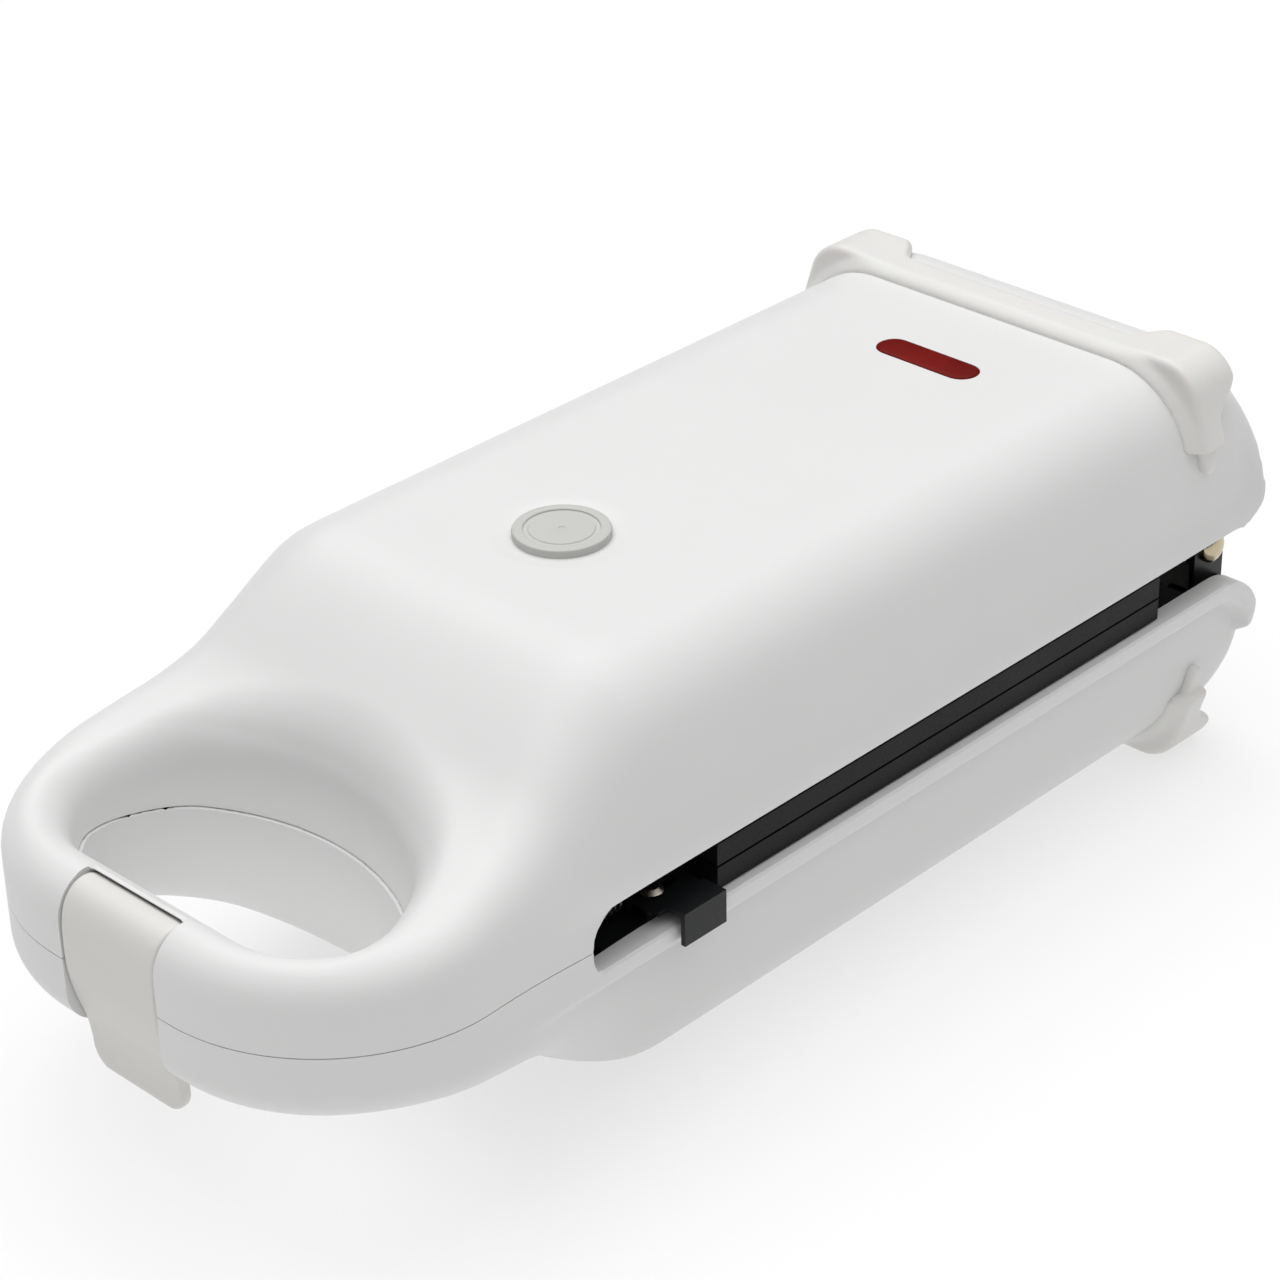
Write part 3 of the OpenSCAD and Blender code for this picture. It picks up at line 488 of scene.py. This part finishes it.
def gland_opening(p):
    hole = np.hypot(p[0], p[2] - GLAND_DOWN) - 5.7
    return -np.maximum(hole, Y_REAR - 16 - p[1])


def make_shells():
    low = (-HALF_RIM, Y_FRONT, 0)
    high = (HALF_RIM, Y_REAR, HALF_H)
    lid = shell_functions(7.4, 13.0, 6.0, False, False, lens_opening)
    base = shell_functions(6.2, 16.0, 3.5, True, True, gland_opening)
    deep = (low[0], low[1], -COLLAR)
    function_object("lid_housing", lid, low, high, SHELL_CELL, False, "lid", LOOKS["white_plastic"],
                    ["lid_shell"], 35)
    function_object("base_housing", base, deep, high, SHELL_CELL, True, "base",
                    LOOKS["white_plastic"], ["base_shell"], 35)


make_shells()


# ---------------------------------------------------------------- stand rails
RAIL_TOP = RAIL_HIGH[2] - MID_Z
RAIL_Y0, RAIL_Y1 = RAIL_LOW[1] - 0.8, RAIL_LOW[1] + 11.0


def rail(p):
    """Strap across the rear of a half: a hollow front face, squared shoulders that reach further back,
    and a web down each side that ends in a ledge with a short tongue below."""
    x, y, z = np.abs(p[0]), p[1], p[2]
    skin = half_body(p[0], y, z, -50, 13.0, False)
    crest = z - RAIL_TOP + 0.25 * (1 - smooth((x - 34) / 8))
    web = (x - SIDE_HALF + 1.6) * 0.955 + (z - RAIL_TOP + 3) * 0.296
    outline = both(crest, web, 7.5)
    front = RAIL_Y0 + 2.6 * smooth(skin / 4.0) - y
    reach = RAIL_Y1 + 8.0 * smooth((x - 34) / 8) * smooth((z - 40) / 9)
    strap = both(both(outline, front, 1.8), y - reach, 2.6)
    strap = both(strap, 34.0 - z, 1.6)
    tongue = both(skin - 2.4, np.abs(y - RAIL_Y1 + 4.4) - 1.6 - 0.28 * (z - 27), 1.2)
    tongue = both(both(tongue, z - 38, 1.0), 27.0 - z, 1.4)
    return np.maximum(either(strap, tongue, 0.8), -skin - 0.3)


def make_rails():
    low = (-HALF_RIM, RAIL_Y0 - 1, 26)
    high = (HALF_RIM, RAIL_Y1 + 10, RAIL_TOP + 1)
    cell = 0.8
    for name, turned, body in (("lid_stand", False, "lid"), ("base_stand", True, "base")):
        function_object(name, [rail], low, high, cell, turned, body, LOOKS["rail_plastic"],
                        [body + "_stand_rail"], 50)


make_rails()


# ---------------------------------------------------------------- front clip
# Middle line of the clip seen from the side: distance behind the front, height above the parting plane.
CLIP_LINE = [(11.9, 12.9), (11.0, 14.6), (9.4, 16.1), (7.5, 16.7), (5.3, 16.3), (3.6, 15.0), (2.3, 13.0),
             (1.5, 10), (1.3, 6), (1.3, 0), (1.8, -4.5), (3.3, -10.5), (4.9, -15), (5.8, -20), (6.1, -24),
             (5.9, -28)]


def rounded_line(points, rounds=3):
    """Chaikin's corner cutting, with the two ends kept."""
    line = np.array(points, float)
    for _ in range(rounds):
        a, b = line[:-1], line[1:]
        mid = np.stack([a * 0.75 + b * 0.25, a * 0.25 + b * 0.75], 1).reshape(-1, 2)
        line = np.concatenate([line[:1], mid, line[-1:]])
    return line


CLIP_PATH = rounded_line(CLIP_LINE)


def clip_form(p):
    """The clip: a bent blade with a barrel and a hub round its axle."""
    x, y, z = np.abs(p[0]), p[1] - Y_FRONT, p[2]
    near = np.full(x.shape, 1e9)
    for a, b in zip(CLIP_PATH[:-1], CLIP_PATH[1:]):
        d = b - a
        t = np.clip(((y - a[0]) * d[0] + (z - a[1]) * d[1]) / (d @ d), 0, 1)
        near = np.minimum(near, np.hypot(y - a[0] - t * d[0], z - a[1] - t * d[1]))
    blade = near - 1.3
    hub = np.hypot(y - 6.5, z - AXLE[1]) - 3.6
    outline = both(x - CLIP_HALF, -z - 28.5, 5.5)
    return both(either(blade, hub, 2.0), outline, 0.9)


def make_clip():
    low = (-CLIP_HALF, Y_FRONT, -28.5)
    high = (CLIP_HALF, Y_FRONT + 14, 18.5)
    function_object("clip", [clip_form], low, high, 0.6, False, "clip", LOOKS["clip_plastic"],
                    ["front_clip"], 50)


make_clip()


# ---------------------------------------------------------------- turned and stacked pieces
def ring_object(name, rings, place, body, look, nodes, sharp=35):
    """Closed skin through rings of equal numbers of points, in millimetres."""
    mesh = bpy.data.meshes.new(name)
    work = bmesh.new()
    loops = [[work.verts.new(place(q)) for q in ring] for ring in rings]
    n = len(rings[0])
    for a, b in zip(loops[:-1], loops[1:]):
        for k in range(n):
            work.faces.new((a[k], a[(k + 1) % n], b[(k + 1) % n], b[k]))
    work.faces.new(loops[0][::-1])
    work.faces.new(loops[-1])
    bmesh.ops.recalc_face_normals(work, faces=work.faces[:])
    work.to_mesh(mesh)
    work.free()
    obj = bpy.data.objects.new(name, mesh)
    bpy.context.scene.collection.objects.link(obj)
    finish_object(obj, body, LOOKS[look], nodes, sharp)
    return obj


def circle(radius, height, steps=96):
    """Points round a circle, one ring of a turned shape."""
    angles = [2 * math.pi * k / steps for k in range(steps)]
    return [(radius * math.cos(t), radius * math.sin(t), height) for t in angles]


def upper(q):
    return Vector((q[0], q[1], q[2] + MID_Z)) * MM


def lower(q):
    return Vector((-q[0], q[1], MID_Z - q[2])) * MM


def make_feet():
    for name, node, turned, body in (("lid_foot", "lid_front_foot", False, "lid"),
                                     ("base_foot", "base_front_foot", True, "base")):
        low, high = box_mm(node)
        top = MID_Z - low[2] if turned else high[2] - MID_Z
        lathe = [(FOOT_R - 0.5, HALF_H - 1.6), (FOOT_R - 0.1, HALF_H - 1.2), (FOOT_R, top - 0.6),
                 (FOOT_R - 0.2, top - 0.2), (FOOT_R - 0.6, top), (FOOT_R - 2.3, top),
                 (FOOT_R - 2.5, top - 0.1), (FOOT_R - 2.6, top - 0.45), (FOOT_R - 3.1, top - 0.55),
                 (FOOT_R - 3.6, top - 0.45), (FOOT_R - 3.8, top - 0.2), (FOOT_R - 4.1, top - 0.15),
                 (0.9, top - 0.15), (0.7, top - 0.2), (0.55, top - 0.4), (0.1, top - 0.42)]
        rings = [[(x, y + FOOT_Y, z) for x, y, z in circle(r, h)] for r, h in lathe]
        ring_object(name, rings, lower if turned else upper, body, "grey_rubber", [node])


def make_lens():
    def outline(inset, z, steps=24):
        r = LENS_W / 2 - inset
        half = (LENS_L - LENS_W) / 2
        ring = []
        for side in (1, -1):
            for k in range(steps + 1):
                t = math.pi * (k / steps - 0.5) if side > 0 else math.pi * (k / steps + 0.5)
                ring.append((LENS_C[0] + side * half + r * math.cos(t), LENS_C[1] + r * math.sin(t), z))
        return ring

    levels = [(0.0, -2.4), (0.0, -0.1), (0.08, 0.12), (0.35, 0.3), (1.0, 0.42), (2.2, 0.48),
              (4.2, 0.5)]
    rings = [outline(inset, HALF_H + z) for inset, z in levels]
    ring_object("lens", rings, upper, "lid", "red_lens", ["indicator_lens"])


def make_pins():
    low, high = box_mm("hinge_pins")
    ear_high = box_mm("base_hinge_ears")[1]
    inner_high = box_mm("lid_hinge_ears")[1]
    y, z = (low[1] + high[1]) / 2, (low[2] + high[2]) / 2
    out, face, inside = high[0], ear_high[0], inner_high[0] - 3.2
    r = (high[2] - low[2]) / 2
    dome = [(r, face + 0.15), (r, face + 0.8)]
    for k in range(1, 8):
        t = math.pi / 2 * k / 8
        dome.append((r * math.cos(t), face + 0.8 + (out - face - 0.8) * math.sin(t)))
    dome.append((0.05, out))
    lathe = [(2.6, inside), (3.0, inside + 0.3), (3.0, face + 0.1)] + dome
    for name, side in (("hinge_pin_right", 1), ("hinge_pin_left", -1)):
        rings = [[(side * h, y + a, z + b) for a, b, _ in circle(radius, 0, 48)]
                 for radius, h in lathe]
        ring_object(name, rings, lambda q: Vector(q) * MM, "base", "yellow_zinc",
                    ["hinge_pins"] if side > 0 else [])


make_feet()
make_lens()
make_pins()

# ---------------------------------------------------------------- stage
def make_stage():
    mesh = bpy.data.meshes.new("floor")
    s = 6.0
    mesh.from_pydata([(-s, -s, 0), (s, -s, 0), (s, s, 0), (-s, s, 0)], [], [(0, 1, 2, 3)])
    floor = bpy.data.objects.new("floor", mesh)
    bpy.context.scene.collection.objects.link(floor)
    mesh.materials.append(material("floor_paper", (0.38, 0.38, 0.38), 0.9, mottle=0.003, glow=0.56))
    world = bpy.data.worlds.new("studio")
    bpy.context.scene.world = world
    world.use_nodes = True
    tree = world.node_tree
    sky = tree.nodes["Background"]
    sky.inputs["Strength"].default_value = 1.85
    place = tree.nodes.new("ShaderNodeTexCoord")
    parts = tree.nodes.new("ShaderNodeSeparateXYZ")
    ramp = tree.nodes.new("ShaderNodeValToRGB")
    tree.links.new(place.outputs["Generated"], parts.inputs[0])
    tree.links.new(parts.outputs["Z"], ramp.inputs["Fac"])
    tree.links.new(ramp.outputs["Color"], sky.inputs["Color"])
    ramp.color_ramp.elements[0].position, ramp.color_ramp.elements[1].position = 0.32, 1.0
    ramp.color_ramp.elements[0].color = (0.02, 0.02, 0.022, 1)
    ramp.color_ramp.elements[1].color = (0.92, 0.92, 0.92, 1)
    light = bpy.data.lights.new("key", "SUN")
    light.angle = math.radians(55)
    light.energy = 0.85
    obj = bpy.data.objects.new("key", light)
    bpy.context.scene.collection.objects.link(obj)
    obj.rotation_euler = Vector((0.45, -0.2, -1.4)).to_track_quat("-Z", "Y").to_euler()


make_stage()
bpy.context.scene.view_settings.view_transform = "Standard"
